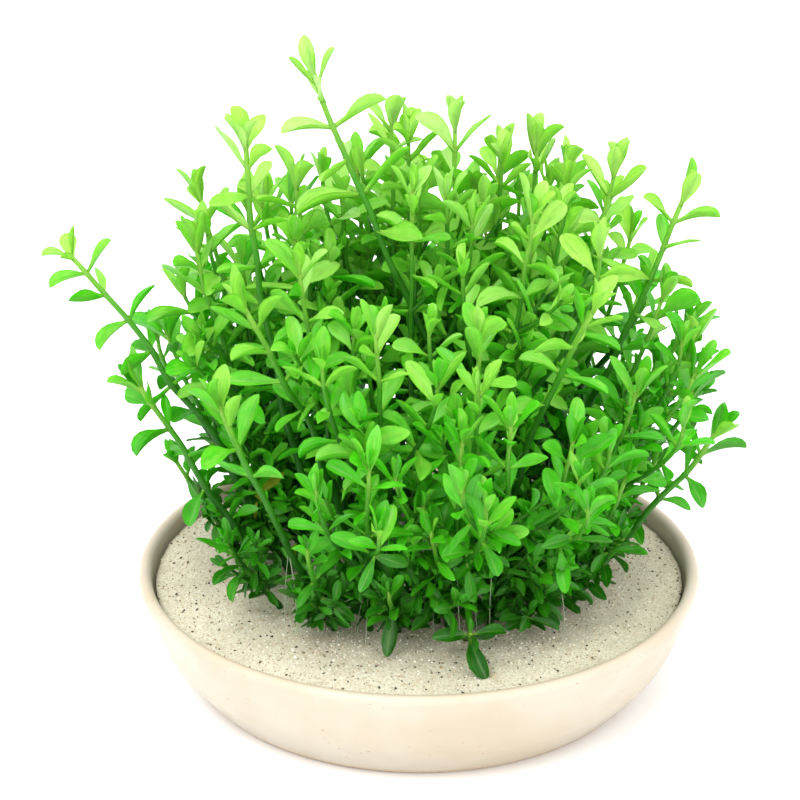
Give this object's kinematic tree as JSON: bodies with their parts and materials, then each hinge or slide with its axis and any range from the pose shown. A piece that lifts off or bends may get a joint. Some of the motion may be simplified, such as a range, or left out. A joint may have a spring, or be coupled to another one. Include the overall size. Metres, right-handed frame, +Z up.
{
  "type": "potted compact water hyssop",
  "caption": "Dense dome of leafy water hyssop shoots rooted in a bed of pale sand in a plain shallow round pan.",
  "frame": {"origin": "centre of the pan's flat underside, on the surface that it stands on", "axes": "+Z up; -Y towards the side of the clump that is seen first; +X to the right as seen from there"},
  "size_m": [0.2, 0.1745, 0.1881],
  "materials": {
    "glazed_stoneware": "satin",
    "sand": "matte",
    "foliage": "satin"
  },
  "bodies": {
    "root": {"pot": "glazed_stoneware", "sand_bed": "sand", "left_shoot_01": "foliage", "left_shoot_02": "foliage", "left_shoot_03": "foliage", "left_shoot_04": "foliage", "left_shoot_05": "foliage", "left_shoot_06": "foliage", "crown_shoot_01": "foliage", "crown_shoot_02": "foliage", "crown_shoot_03": "foliage", "crown_shoot_04": "foliage", "crown_shoot_05": "foliage", "crown_shoot_06": "foliage", "crown_shoot_07": "foliage", "crown_shoot_08": "foliage", "crown_shoot_09": "foliage", "crown_shoot_10": "foliage", "crown_shoot_11": "foliage", "right_shoot_01": "foliage", "right_shoot_02": "foliage", "right_shoot_03": "foliage", "right_shoot_04": "foliage", "right_shoot_05": "foliage", "right_shoot_06": "foliage", "right_shoot_07": "foliage", "front_shoot_01": "foliage", "front_shoot_02": "foliage", "front_shoot_03": "foliage", "front_shoot_04": "foliage", "front_shoot_05": "foliage", "front_shoot_06": "foliage", "front_shoot_07": "foliage", "front_shoot_08": "foliage", "front_shoot_09": "foliage", "front_shoot_10": "foliage", "front_shoot_11": "foliage", "back_shoot_01": "foliage", "back_shoot_02": "foliage", "back_shoot_03": "foliage", "back_shoot_04": "foliage", "back_shoot_05": "foliage", "back_shoot_06": "foliage", "back_shoot_07": "foliage", "back_shoot_08": "foliage", "back_shoot_09": "foliage", "skirt_sprig_01": "foliage", "skirt_sprig_02": "foliage", "skirt_sprig_03": "foliage", "skirt_sprig_04": "foliage", "skirt_sprig_05": "foliage", "skirt_sprig_06": "foliage", "skirt_sprig_07": "foliage", "skirt_sprig_08": "foliage", "skirt_sprig_09": "foliage", "skirt_sprig_10": "foliage"}
  },
  "joints": []
}
